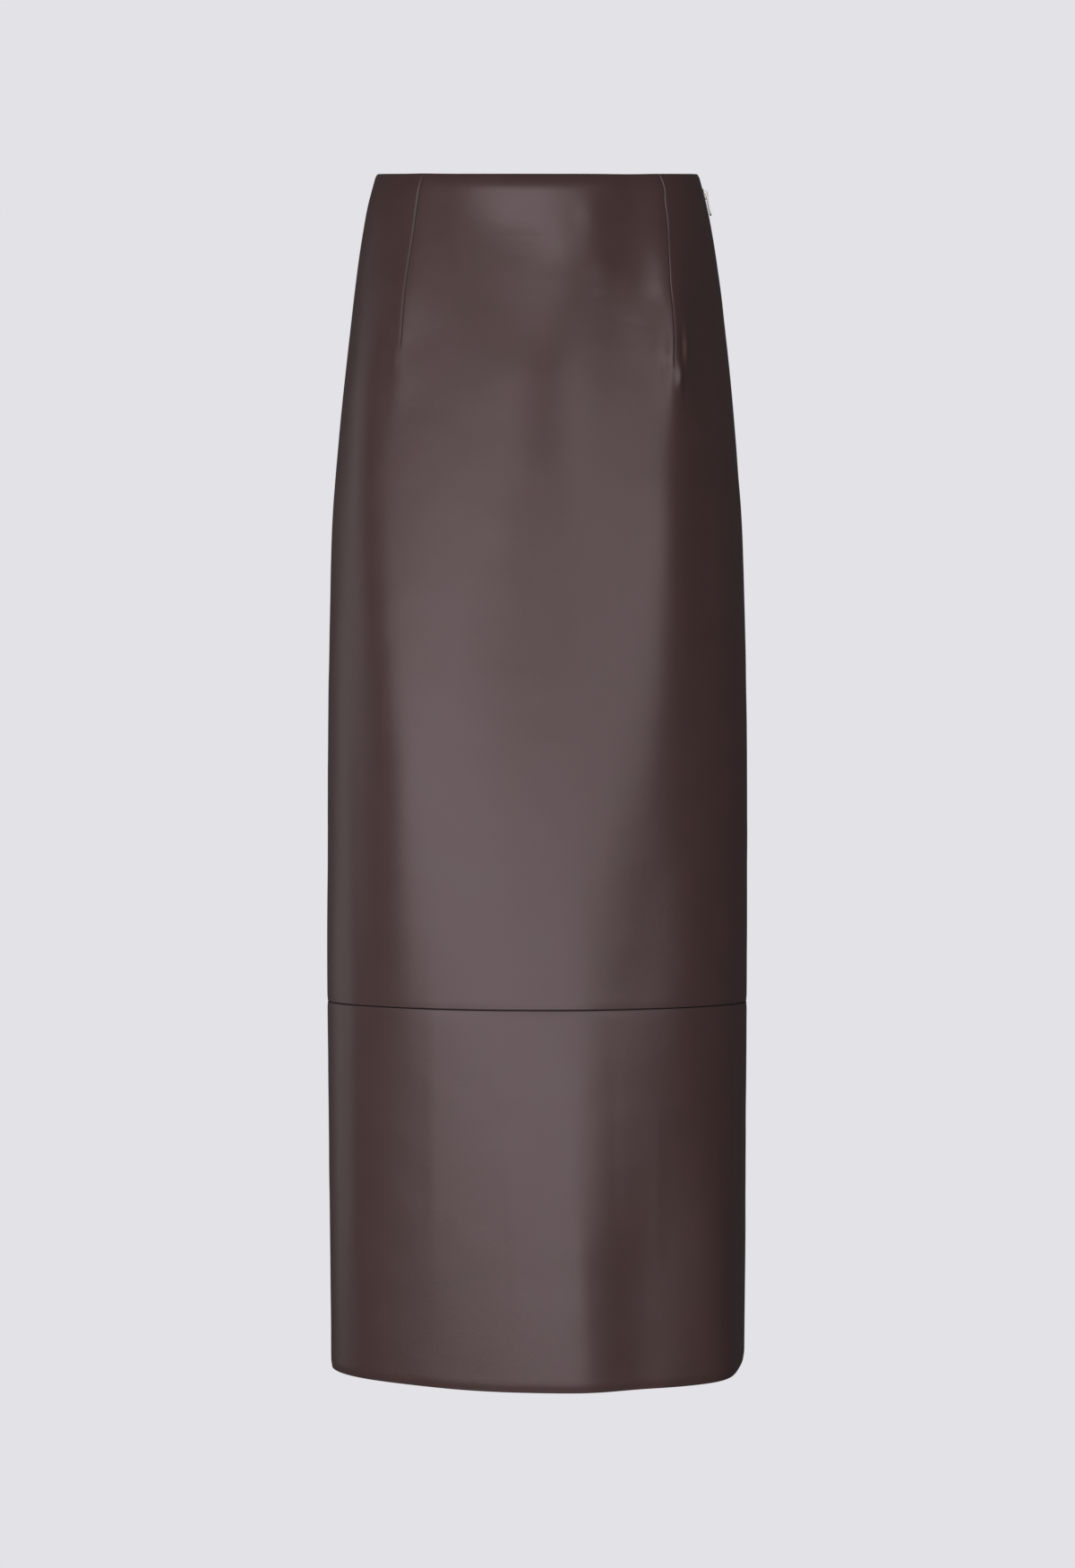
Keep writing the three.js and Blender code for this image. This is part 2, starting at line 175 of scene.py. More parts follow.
def softNoise(u, v, size, seed):
    # smooth bumps of that size in mm, between -1 and 1, the same on every run
    cells, start = 97, 40.0
    lattice = np.random.RandomState(seed).uniform(-1, 1, (cells, cells))
    x, y = u / size + start, v / size + start
    i, j = np.floor(x).astype(int), np.floor(y).astype(int)
    fx, fy = x - i, y - j
    wx = fx ** 3 * (fx * (fx * 6 - 15) + 10)
    wy = fy ** 3 * (fy * (fy * 6 - 15) + 10)
    at = lambda a, b: lattice[np.mod(a, cells), np.mod(b, cells)]
    top = at(i, j) * (1 - wx) + at(i + 1, j) * wx
    foot = at(i, j + 1) * (1 - wx) + at(i + 1, j + 1) * wx
    return top * (1 - wy) + foot * wy


def foldHeight(angle, drop):
    height = 0.0
    for topAngle, footAngle, topDrop, footDrop, half, rise, fadeAbove, fadeBelow in folds:
        along = np.clip((drop - topDrop) / (footDrop - topDrop), 0, 1)
        centre = topAngle + (footAngle - topAngle) * along
        past = np.maximum(topDrop - drop, 0) / fadeAbove + np.maximum(drop - footDrop, 0) / fadeBelow
        height = height + rise * bump(turn(angle, centre) / half) * bump(past)
    return height


def dartLine(dart, drop):
    # the angle of a dart's sewn line at a drop
    centre = dart["topAngle"] + (dart["tipAngle"] - dart["topAngle"]) * np.minimum(1, drop / dart["tipDrop"])
    for bendDrop, degrees, reach in dart["bends"]:
        centre = centre + degrees * bump((drop - bendDrop) / reach)
    return centre


def fromDart(dart, angle, drop):
    # mm to the sewn line, plus away from the middle of the panel
    outward = np.sign(dart["tipAngle"]) * (1 if abs(dart["tipAngle"]) < 90 else -1)
    return turn(angle, dartLine(dart, drop)) * dartShape["mmPerDegree"] * outward


def dartHeight(angle, drop):
    # fullness let out round each dart's point
    s, height = dartShape, 0.0
    for dart in darts:
        past = drop - dart["tipDrop"]
        reach = np.where(past < 0, s["swellAbove"], s["swellBelow"])
        across = fromDart(dart, angle, drop)
        height = height + dart["swell"] * bump(across / s["swellHalf"]) * bump(past / reach)
    return height


# What the leather does where a dart ends:
# (mm out from the line, mm below its point, half width, half length, height)
pucker = [
    (5.0, 13.0, 3.4, 10.0, 2.2),       # the small drop under the last stitch
    (13.0, -8.0, 3.0, 17.0, 2.1),      # fold curling round outside it
    (8.6, -10.0, 2.4, 14.0, -0.9),
    (-7.0, 2.0, 3.2, 20.0, -0.9),      # drawn-in hollow towards the middle
    (11.0, 22.0, 4.0, 9.0, -0.6),
]


def creaseHeight(angle, drop):
    # the sewn line of each dart, padded on its centre side, and the pucker at its point
    s, height = dartShape, 0.0
    for dart in darts:
        across = fromDart(dart, angle, drop)
        past = drop - dart["tipDrop"]
        sewn = smooth((s["pastTip"] - past) / s["creaseFade"])
        inner = roll(-across, s["innerReach"]) / s["innerReach"]      # a round lip
        outer = 1 - np.clip(across / s["outerReach"], 0, 1)           # an open slope that faces the centre
        height = height - s["creaseDepth"] * np.where(across < 0, inner, outer) * sewn
        padded = bump(np.minimum(drop - s["padTop"], 0) / s["padFade"]) * sewn * dart["pad"]
        centreSide = bump(across / s["padReach"]) * np.where(across < s["touching"], 1, 0)
        height = height + s["padHeight"] * padded * centreSide
        for side, below, halfWidth, halfLength, rise in pucker:
            shape = bump((across - side) / halfWidth) * bump((past - below) / halfLength)
            height = height + dart["pucker"] * rise * shape
    return height


def waistDrop(angle):
    c, r = np.cos(np.radians(angle)), skirt["dipRounding"]
    rounded = (np.hypot(c, r) - r) / (math.hypot(1, r) - r)
    return np.where(c > 0, skirt["frontDip"], skirt["backDip"]) * rounded


def hemDrop(angle):
    fromZip = turn(angle, skirt["hemLiftAngle"])
    return skirt["length"] - skirt["hemLift"] * bump(fromZip / skirt["hemLiftHalf"])


def leather(angle, drop, inward=0.0, outer=True):
    # a point of the leather in metres, moved in from its outer face
    c, s = np.cos(np.radians(angle)), np.sin(np.radians(angle))
    depth = np.where(c > 0, atDrop("frontDepth", drop), atDrop("backDepth", drop))
    half, lean = atDrop("halfWidth", drop), atDrop("lean", drop)
    x, y = half * s + lean * np.maximum(0, c) ** 2, -depth * c
    alongX, alongY = half * c - 2 * lean * np.maximum(0, c) * s, depth * s
    size = np.hypot(alongX, alongY)
    relief = foldHeight(angle, drop) + dartHeight(angle, drop) + hideHeight(angle, drop) - inward
    if outer:
        relief = relief + creaseHeight(angle, drop) + fineHeight(angle, drop)
    return np.stack([x + alongY / size * relief, y - alongX / size * relief, -drop + 0 * angle], -1) * mm


# Fine drag lines where the leather strains over the belly and beside the darts:
# (middle angle, drop, half length in degrees, slant in mm for each degree, half width in mm, height)
dragLines = [
    (-4, 24, 14, 0.05, 1.6, -0.10), (-14, 30, 9, -0.12, 1.3, -0.08), (16, 27, 10, 0.08, 1.5, -0.09),
    (-5, 50, 10, 0.10, 1.5, -0.13), (4, 56, 8, -0.05, 1.2, 0.08), (-3, 66, 11, 0.14, 1.8, -0.15),
    (1, 72, 9, 0.10, 1.3, -0.10), (-9, 80, 8, 0.20, 1.6, 0.10), (-24, 101, 9, 0.22, 1.7, -0.15),
    (-22, 108, 7, 0.18, 1.4, 0.10), (12, 100, 12, -0.16, 3.0, -0.07), (20, 112, 9, -0.24, 2.0, -0.10),
    (30, 132, 6, 0.5, 2.0, -0.14),
    (170, 60, 14, 0.10, 1.8, -0.14), (-170, 84, 12, -0.12, 1.8, -0.14), (178, 104, 15, 0.06, 2.2, -0.12),
]
# Faint upright ripples: (angle, top drop, foot drop, half width in degrees, height)
ripples = [
    (-30, 560, 900, 2.6, 0.22), (-9, 600, 940, 2.2, 0.20), (9, 690, 930, 2.4, 0.22),
    (21, 640, 860, 2.0, -0.20), (31, 700, 900, 2.2, 0.24), (-20, 250, 560, 3.0, 0.18),
    (16, 300, 620, 3.0, -0.18), (-62, 420, 900, 3.4, 0.35), (66, 380, 880, 3.4, 0.30),
    (140, 300, 880, 3.2, 0.30), (-140, 280, 840, 3.4, -0.30), (171, 420, 640, 3.0, 0.25),
    (-168, 700, 930, 3.0, 0.25), (105, 500, 900, 3.2, -0.25), (-102, 460, 860, 3.4, 0.25),
]
rippleShape = {"wander": 1.6, "wanderLength": 90.0, "fade": 90.0}     # it wanders by that many degrees


def fineHeight(angle, drop):
    height = 0.0
    for middle, at, half, slant, width, rise in dragLines:
        along = turn(angle, middle)
        height = height + rise * bump(along / half) * bump((drop - at - slant * along) / width)
    for middle, top, foot, half, rise in ripples:
        wander = rippleShape["wander"] * np.sin(drop / rippleShape["wanderLength"] + middle)
        length = smooth((drop - top) / rippleShape["fade"]) * smooth((foot - drop) / rippleShape["fade"])
        height = height + rise * bump(turn(angle, middle + wander) / half) * length
    return height


hide = {
    "largeSize": 75.0, "largeHeight": 0.45, "smallSize": 24.0, "smallHeight": 0.12, "seed": 11,
    "largeSquash": 0.6,          # the large bumps are longer down the skirt than round it
    "mmPerDegree": 2.6,
    "heldHalf": 12.0, "heldReach": 60.0, "heldTop": 1.4,     # round the slider
}


def hideHeight(angle, drop):
    # a hide never hangs quite even, except where the zip's slider holds it
    h, u = hide, angle * hide["mmPerDegree"]
    held = bump(turn(angle, 90) / h["heldHalf"]) * smooth(h["heldTop"] - drop / h["heldReach"])
    large = softNoise(u, drop * h["largeSquash"], h["largeSize"], h["seed"])
    small = softNoise(u, drop, h["smallSize"], h["seed"] + 1)
    return (1 - held) * (h["largeHeight"] * large + h["smallHeight"] * small)


# Materials

def linear(hexColour):
    # sRGB hex to linear RGBA
    value = [int(hexColour[i:i + 2], 16) / 255 for i in (1, 3, 5)]
    return [c / 12.92 if c <= 0.04045 else ((c + 0.055) / 1.055) ** 2.4 for c in value] + [1.0]


def node(tree, kind, sockets=None, **settings):
    # adds a node with its settings; each socket is linked to an output or given a value
    made = tree.nodes.new(kind)
    for name, value in settings.items():
        setattr(made, name, value)
    for name, value in (sockets or {}).items():
        if isinstance(value, bpy.types.NodeSocket):
            tree.links.new(value, made.inputs[name])
        else:
            made.inputs[name].default_value = value
    return made


def newMaterial(name):
    material = bpy.data.materials.new(name)
    material.use_nodes = True
    tree = material.node_tree
    tree.nodes.clear()
    return material, tree


def noise(tree, place, size, **sockets):
    # soft noise with features of about that size in mm
    sockets = {"Vector": place, "Scale": 1 / (size * mm), **sockets}
    return node(tree, "ShaderNodeTexNoise", sockets).outputs["Fac"]


def relief(tree, height, depth, strength=1.0, **sockets):
    # bumps of that depth in mm
    sockets = {"Height": height, "Strength": strength, "Distance": depth * mm, **sockets}
    return node(tree, "ShaderNodeBump", sockets).outputs["Normal"]


def wandering(tree, fac, look):
    # roughness that wanders with a noise, to that spread on either side
    return node(tree, "ShaderNodeMapRange", {
        "Value": fac, "To Min": look["roughness"] - look["roughnessSpread"],
        "To Max": look["roughness"] + look["roughnessSpread"]}).outputs["Result"]


def surface(tree, sockets):
    shader = node(tree, "ShaderNodeBsdfPrincipled", sockets)
    node(tree, "ShaderNodeOutputMaterial", {"Surface": shader.outputs["BSDF"]})


nappa = {
    "brown": "#493534", "deepBrown": "#41312f",     # drum dye, a little uneven over the hide
    "sheenTint": "#fff2f9",                         # the finish coat carries a little of the dye
    "roughness": 0.38, "roughnessSpread": 0.03,
    # the seam colour below is painted shadow for sewn lines; the dullness adds roughness there
    "seamShadowPaint": "#1d1312", "seamDullness": 0.5,
    "mottleSize": 38.0, "creepSize": 6.0, "creepDepth": 0.07,
    "poreSize": 1.3, "poreDepth": 0.018,            # coarser than in life, or they wouldn't show
}


def nappaLeather():
    # Aniline-dyed nappa with a thin satin finish coat: one smooth broad highlight, pores only just seen
    material, tree = newMaterial("nappaLeather")
    n = nappa
    place = node(tree, "ShaderNodeTexCoord").outputs["Object"]
    mottle = noise(tree, place, n["mottleSize"], Detail=3.0, Roughness=0.55)
    colour = node(tree, "ShaderNodeMix", {
        "Factor": mottle, "A": linear(n["deepBrown"]), "B": linear(n["brown"])}, data_type="RGBA")
    pores = node(tree, "ShaderNodeTexVoronoi", {"Vector": place, "Scale": 1 / (n["poreSize"] * mm)})
    pored = relief(tree, pores.outputs["Distance"], n["poreDepth"])
    creep = noise(tree, place, n["creepSize"], Detail=2.0)
    creased = relief(tree, creep, n["creepDepth"], Normal=pored)
    # a seam's or dart's sewn line is painted dark, a painted shadow in its crease, and is rougher there so it
    # is dull
    seam = node(tree, "ShaderNodeAttribute", attribute_name="paintedSeamShadow").outputs["Fac"]
    seamShadowed = node(tree, "ShaderNodeMix", {
        "Factor": seam, "A": colour.outputs["Result"], "B": linear(n["seamShadowPaint"])}, data_type="RGBA")
    dull = node(tree, "ShaderNodeMath", {0: seam, 1: n["seamDullness"], 2: wandering(tree, mottle, n)},
                operation="MULTIPLY_ADD", use_clamp=True)
    surface(tree, {
        "Base Color": seamShadowed.outputs["Result"], "Roughness": dull.outputs["Value"],
        "Normal": creased, "IOR": 1.5, "Specular Tint": linear(n["sheenTint"])})
    return material


flesh = {
    "light": "#5a4742", "dark": "#473632", "darkBelow": 0.12, "lightAbove": 0.4,
    "napSize": 0.9, "napDepth": 0.12, "patchSize": 16.0,
    "fuzz": 0.25, "fuzzRoughness": 0.5,             # short fibres that stand up catch light at the edges
}


def fleshSide():
    # Shaved flesh side of the hide, left unfinished: matt, with a short nap
    material, tree = newMaterial("fleshSide")
    f = flesh
    place = node(tree, "ShaderNodeTexCoord").outputs["Object"]
    nap = noise(tree, place, f["napSize"], Detail=4.0)
    patch = noise(tree, place, f["patchSize"], Detail=4.0)
    both = node(tree, "ShaderNodeMath", {0: nap, 1: patch}, operation="MULTIPLY")
    spread = node(tree, "ShaderNodeMapRange", {
        "Value": both.outputs["Value"], "From Min": f["darkBelow"], "From Max": f["lightAbove"]})
    colour = node(tree, "ShaderNodeMix", {
        "Factor": spread.outputs["Result"], "A": linear(f["dark"]), "B": linear(f["light"])},
        data_type="RGBA")
    surface(tree, {
        "Base Color": colour.outputs["Result"], "Normal": relief(tree, nap, f["napDepth"], 0.8),
        "Roughness": 0.95, "IOR": 1.45, "Sheen Weight": f["fuzz"], "Sheen Roughness": f["fuzzRoughness"]})
    return material


leatherFace, leatherBack = nappaLeather(), fleshSide()


# Grids. A grid line is finest at its marks: (place, finest step, growth of the step with distance).
# The finest step in mm and its growth, at a panel's side and level edges, its darts and its cut edges:
outerGrid = dict(side=(0.22, 0.35), level=(0.22, 0.3), dart=(0.2, 0.16))
innerGrid = dict(side=(0.5, 0.5), level=(0.4, 0.4), dart=(0.6, 0.12), cut=(0.3, 0.35), step=7.0)
lineSamples, ringSamples = 6001, 721


def gridLine(length, marks, coarse):
    s = np.linspace(0, length, lineSamples)
    step = np.full_like(s, coarse)
    for place, finest, growth in marks:
        step = np.minimum(step, finest + growth * np.abs(s - place))
    count = np.concatenate([[0], np.cumsum((1 / step[1:] + 1 / step[:-1]) / 2 * np.diff(s))])
    steps = max(2, int(math.ceil(count[-1])))
    return np.interp(np.linspace(0, count[-1], steps + 1), count, s)


def sideGap(drop):
    return np.degrees(skirt["uprightSeamGap"] / 2 / atDrop("frontDepth", drop))


def slitAngle(drop):
    opened = smooth((drop - skirt["slitTop"]) / (skirt["length"] - skirt["slitTop"]))
    closed = skirt["uprightSeamGap"] / 2
    half = closed + (skirt["slitHemWidth"] / 2 - closed) * opened
    return np.degrees(np.arcsin(half / atDrop("halfWidth", drop)))


def aboveSeam(angle):
    return skirt["seamDrop"] - skirt["seamGap"] / 2 + 0 * angle


def belowSeam(angle):
    return skirt["seamDrop"] + skirt["seamGap"] / 2 + 0 * angle


# Each edge of a panel is sewn, or turned in over a fold. Inside, its allowance lies back on the panel,
# grain side up, with a cut edge.
edges = {
    "sewnRadius": 0.5, "sewnDip": 0.3, "sewnReach": 3.5,
    "turnedRadius": 0.75, "waistRadius": 0.35,
    "sewnAllowance": 12.0, "waistAllowance": 14.0, "hemAllowance": 32.0, "turnedAllowance": 22.0,
    # seamShadow is the width in mm of the shadow painted along a sewn edge
    "allowanceThickness": 0.75, "cutEdge": 0.5, "seamShadow": 0.45, "sharpFrom": 50.0,
    "waistCurl": 0.7, "waistBand": 4.0,         # the turned waist edge curls in
    "waistDraw": 2.6, "waistDrawBand": 15.0,    # and is drawn in, most at centre front and back
    "hemCurl": 0.8, "hemBand": 9.0,
}


def edgeDistances(panel, angle, drop, fromTop, fromFoot):
    # mm to each edge of the panel
    return {
        "top": fromTop, "foot": fromFoot,
        "left": np.radians(np.abs(angle - panel["left"](drop))) * panel["leftArm"],
        "right": np.radians(np.abs(angle - panel["right"](drop))) * panel["rightArm"],
    }


def gridPlace(panel, angleShare, dropShare):
    # angle and drop of a grid point; shares are along the panel's own width and length
    left, right, top, foot = panel["left"], panel["right"], panel["top"], panel["foot"]
    base = lambda drop: left(drop) + (right(drop) - left(drop)) * angleShare
    rough = top(base(0.0 * dropShare)) * (1 - dropShare) + foot(base(0.0 * dropShare)) * dropShare
    angle = base(rough)
    for dart in darts:   # grid lines follow each dart
        shift = dartLine(dart, rough) - dart["tipAngle"]
        angle = angle + shift * bump(turn(angle, dart["tipAngle"]) / dartShape["gridReach"])
    return angle, top(angle) * (1 - dropShare) + foot(angle) * dropShare


def panelPoint(panel, angleShare, dropShare, layer):
    # outer layer 0, inner layer 1
    angle, drop = gridPlace(panel, angleShare, dropShare)
    length = panel["foot"](angle) - panel["top"](angle)
    away = edgeDistances(panel, angle, drop, dropShare * length, (1 - dropShare) * length)
    e, inward = edges, 0.0
    for side, distance in away.items():
        finish = panel["finish"][side]
        if finish == "sewn":
            if layer == 0:
                dip = e["sewnDip"] * bump(distance / e["sewnReach"])
                inward = inward + roll(distance, e["sewnRadius"]) + dip
        else:
            radius = e["waistRadius"] if finish == "waist" and layer == 0 else e["turnedRadius"]
            inward = inward + roll(distance, radius) * (1 if layer == 0 else -1)
        if finish in ("waist", "hem"):
            band = e[finish + "Band"]
            inward = inward + e[finish + "Curl"] * smooth(1 - distance / band) ** 2
        if finish == "waist":
            facing = np.cos(np.radians(angle)) ** 2
            inward = inward + e["waistDraw"] * facing * smooth(1 - distance / e["waistDrawBand"]) ** 2
    if layer == 1:
        inward = inward + skirt["thickness"] + e["allowanceThickness"] * allowance(panel, away)
        inward = inward + intakeHeight(angle, drop)
    return leather(angle, drop, inward, layer == 0)


def allowance(panel, away):
    # 1 where an edge's allowance lies on the inside of the panel, 0 elsewhere
    covered = 0.0
    for side, distance in away.items():
        width = edges[panel["finish"][side] + "Allowance"]
        covered = np.maximum(covered, smooth((width - distance) / edges["cutEdge"] + 0.5))
    return covered


# A dart's folded leather, glued down to one side of it inside the skirt
intake = {
    "width": 11.0, "leastWidth": 0.3, "thickness": 1.5, "foldRadius": 1.6, "lineRadius": 0.8,
    "belowWaist": 1.5, "endRadius": 4.0,
}


def intakeHeight(angle, drop):
    height, i = 0.0, intake
    for dart in darts:
        across = -fromDart(dart, angle, drop)
        width = i["width"] * np.clip(1 - drop / dart["tipDrop"], 0, 1)
        inside = smooth((width - across) / i["foldRadius"]) * smooth(across / i["lineRadius"] + 1)
        inside = inside * smooth((drop - waistDrop(angle) - i["belowWaist"]) / i["endRadius"])
        height = height + i["thickness"] * inside * np.where(width > i["leastWidth"], 1, 0)
    return height


def ringArc(fromAngle, toAngle):
    # angles and the lengths in mm to them round the skirt
    angle = np.linspace(fromAngle, toAngle, ringSamples)
    point = leather(angle, np.full_like(angle, skirt["ringDrop"])) / mm
    step = np.hypot(*(np.diff(point, axis=0)[:, :2].T))
    return angle, np.concatenate([[0], np.cumsum(step)])


def zipStrip(lineA, lineB, shareA, shareB):
    # triangles between two lines of points with different spacing
    faces, a, b = [], 0, 0
    while a + 1 < len(lineA) or b + 1 < len(lineB):
        nextA = shareA[a + 1] if a + 1 < len(lineA) else math.inf
        nextB = shareB[b + 1] if b + 1 < len(lineB) else math.inf
        if nextA <= nextB:
            faces.append((lineA[a], lineA[a + 1], lineB[b]))
            a += 1
        else:
            faces.append((lineA[a], lineB[b + 1], lineB[b]))
            b += 1
    return faces


def panelGrid(panel, layer, coarse, first):
    # points, face corners, the four border lines, grid lines and painted seam shadow of one layer
    e, s, g = edges, dartShape, innerGrid if layer else outerGrid
    angles, lengths = ringArc(panel["fromAngle"], panel["toAngle"])
    width, length, finish = lengths[-1], panel["length"], panel["finish"]
    marks = [(0, *g["side"]), (width, *g["side"])]
    rows = [(0, *g["level"]), (length, *g["level"])]
    if layer:
        cut = {side: e[finish[side] + "Allowance"] for side in finish}
        marks += [(cut["left"], *g["cut"]), (width - cut["right"], *g["cut"])]
        rows += [(cut["top"], *g["cut"]), (length - cut["foot"], *g["cut"])]
    middle = (panel["fromAngle"] + panel["toAngle"]) / 2
    for dart in darts:
        place = turn(dart["tipAngle"], middle)
        if panel["darted"] and abs(place) < 90:
            marks.append((np.interp(place + middle, angles, lengths), *g["dart"]))
    across = gridLine(width, marks, coarse)
    angleShare = (np.interp(across, lengths, angles) - angles[0]) / (angles[-1] - angles[0])
    down = gridLine(length, rows, coarse) / length
    u, v = np.meshgrid(angleShare, down, indexing="ij")
    points = panelPoint(panel, u, v, layer).reshape(-1, 3)
    columns, rows = len(angleShare), len(down)
    index = first + np.arange(columns * rows).reshape(columns, rows)
    quads = np.stack([index[:-1, :-1], index[:-1, 1:], index[1:, 1:], index[1:, :-1]], -1)
    if layer:
        quads = quads[..., ::-1]
    borders = {"top": (index[:, 0], angleShare), "foot": (index[:, -1], angleShare),
               "left": (index[0], down), "right": (index[-1], down)}
    x, y = np.meshgrid(across, down * length, indexing="ij")
    away = {"left": x, "right": width - x, "top": y, "foot": length - y}
    # painted shadow along sewn edges and, a little to the centre side, along each dart's sewn line, ending
    # above its point
    sewn = sum(bump(away[side] / e["seamShadow"]) for side in away if finish[side] == "sewn")
    for dart in darts if panel["darted"] else []:
        beside = fromDart(dart, *np.broadcast_arrays(*gridPlace(panel, u, v)))
        end = smooth((dart["tipDrop"] + s["pastTip"] - y - s["shadowStop"]) / s["shadowFade"])
        sewn = sewn + bump((beside + s["shadowInside"]) / s["shadowWidth"]) * end
    return points, quads.reshape(-1, 4), borders, (across, down * length), np.clip(sewn, 0, 1).reshape(-1)


def panelPiece(name, panel):
    outer = panelGrid(panel, 0, panel["step"], 0)
    inner = panelGrid(panel, 1, innerGrid["step"], len(outer[0]))
    faces = [tuple(f) for f in outer[1]] + [tuple(f) for f in inner[1]]
    materialOf = [0] * len(outer[1]) + innerMaterials(panel, inner)
    for side, order in (("top", 1), ("foot", -1), ("left", -1), ("right", 1)):
        strip = zipStrip(outer[2][side][0], inner[2][side][0], outer[2][side][1], inner[2][side][1])
        faces += [f[::order] for f in strip]
        materialOf += [0] * len(strip)
    mesh = bpy.data.meshes.new(name)
    mesh.from_pydata(np.concatenate([outer[0], inner[0]]).tolist(), [], [[int(i) for i in f] for f in faces])
    mesh.materials.append(leatherFace)
    mesh.materials.append(leatherBack)
    mesh.polygons.foreach_set("material_index", materialOf)
    # the painted seam shadow goes on the outer layer alone
    paintedSeamShadow = mesh.attributes.new("paintedSeamShadow", "FLOAT", "POINT")
    paintedSeamShadow.data.foreach_set("value", np.concatenate([outer[4], np.zeros(len(inner[0]))]))
    mesh.polygons.foreach_set("use_smooth", [True] * len(faces))
    mesh.set_sharp_from_angle(angle=math.radians(edges["sharpFrom"]))
    mesh.update()
    piece = bpy.data.objects.new(name, mesh)
    bpy.context.collection.objects.link(piece)
    print("skirt:", name, len(mesh.vertices), "points")
    return piece


def innerMaterials(panel, inner):
    # grain side shows where an allowance is turned in, flesh side elsewhere
    across, down = inner[3]
    x, y = np.meshgrid((across[:-1] + across[1:]) / 2, (down[:-1] + down[1:]) / 2, indexing="ij")
    away = {"left": x, "right": across[-1] - x, "top": y, "foot": down[-1] - y}
    return np.where(allowance(panel, away) > 0.5, 0, 1).reshape(-1).tolist()


sewnAll = dict(top="sewn", foot="sewn", left="sewn", right="sewn")
upperLength = skirt["seamDrop"] - skirt["frontDip"]
lowerLength = skirt["length"] - skirt["seamDrop"]
sideArm, backArm = 118.0, 165.0     # mm round the ring for each radian, at a side seam and at centre back

front = dict(left=lambda drop: -90 + sideGap(drop), right=lambda drop: 90 - sideGap(drop),
             fromAngle=-90, toAngle=90, leftArm=sideArm, rightArm=sideArm, step=2.5)
upper = dict(top=waistDrop, foot=aboveSeam, length=upperLength, finish={**sewnAll, "top": "waist"},
             darted=True)
lower = dict(top=belowSeam, foot=hemDrop, length=lowerLength, darted=False)
panels = {
    "front_panel": dict(**front, **upper),
    "back_panel": dict(
        left=lambda drop: 90 + sideGap(drop), right=lambda drop: 270 - sideGap(drop),
        fromAngle=90, toAngle=270, leftArm=sideArm, rightArm=sideArm, step=3.0, **upper),
    "front_lower_panel": dict(**front, **lower, finish={**sewnAll, "foot": "hem"}),
    "back_lower_left": dict(
        left=lambda drop: 90 + sideGap(drop), right=lambda drop: 180 - slitAngle(drop),
        finish={**sewnAll, "foot": "hem", "right": "turned"},
        fromAngle=90, toAngle=180, leftArm=sideArm, rightArm=backArm, step=3.0, **lower),
    "back_lower_right": dict(
        left=lambda drop: 180 + slitAngle(drop), right=lambda drop: 270 - sideGap(drop),
        finish={**sewnAll, "foot": "hem", "left": "turned"},
        fromAngle=180, toAngle=270, leftArm=backArm, rightArm=sideArm, step=3.0, **lower),
}

print("skirt: panels")
pieces = {}
for name, panel in panels.items():
    piece = panelPiece(name + "_leather", panel)
    pieces[name] = piece
    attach(piece, "skirt")
    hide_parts(name)


# Concealed zip in the wearer's left side seam: tapes and coil inside, slider and tab outside

zipSizes = {
    "length": 205.0, "tapeTop": 6.0, "tapeWidth": 24.0, "tapeThickness": 0.6, "tapeInside": 2.1,
    "tapeSplit": 0.5, "selvedge": 0.15, "selvedgeWidth": 0.8,
    "coilTop": 19.0, "coilPitch": 1.25, "coilHalfWidth": 1.3, "coilHalfDepth": 0.75, "coilWire": 0.27,
    "coilApart": 0.8, "coilShrink": 0.997,
    "sliderDrop": 15.0, "plateLength": 8.5, "plateWidth": 5.0, "plateThickness": 0.8, "noseWidth": 3.2,
    "plateCorner": 1.0, "noseCorner": 0.8,
    "bridgeLength": 5.0, "bridgeWidth": 1.4, "bridgeStock": 0.6, "bridgeRoom": 1.8,
    "bridgeCorner": 0.9, "bridgeInside": 0.4,
    "bodyWidth": 6.6, "bodyThickness": 2.8, "bodyInside": 4.6, "bodyCorner": 1.5, "bodyEdge": 0.5,
    "metalEdge": 0.18,
}
tab = {
    "barRadius": 0.5, "windowHalfWidth": 1.15, "armWidth": 0.9, "windowEnd": 4.0, "windowCorner": 0.5,
    "neckEnd": 5.5, "neckHalfWidth": 1.8, "length": 18.0, "tipHalfWidth": 2.9, "shoulder": 0.4,
    "thickness": 1.2, "edge": 0.32, "restTilt": 2.5,
}
tapeWeave = {"yarn": "#3d2e2c", "shadow": "#241a19", "rib": 0.55, "herring": 2.4, "depth": 0.12}
coilNylon = {"colour": "#33272a", "roughness": 0.34, "roughnessSpread": 0.06, "flow": 900.0}
nickel = {
    "colour": "#fbfaf6", "roughness": 0.55, "roughnessSpread": 0.08,
    "scratchSize": 0.5, "scratchDepth": 0.003,
}


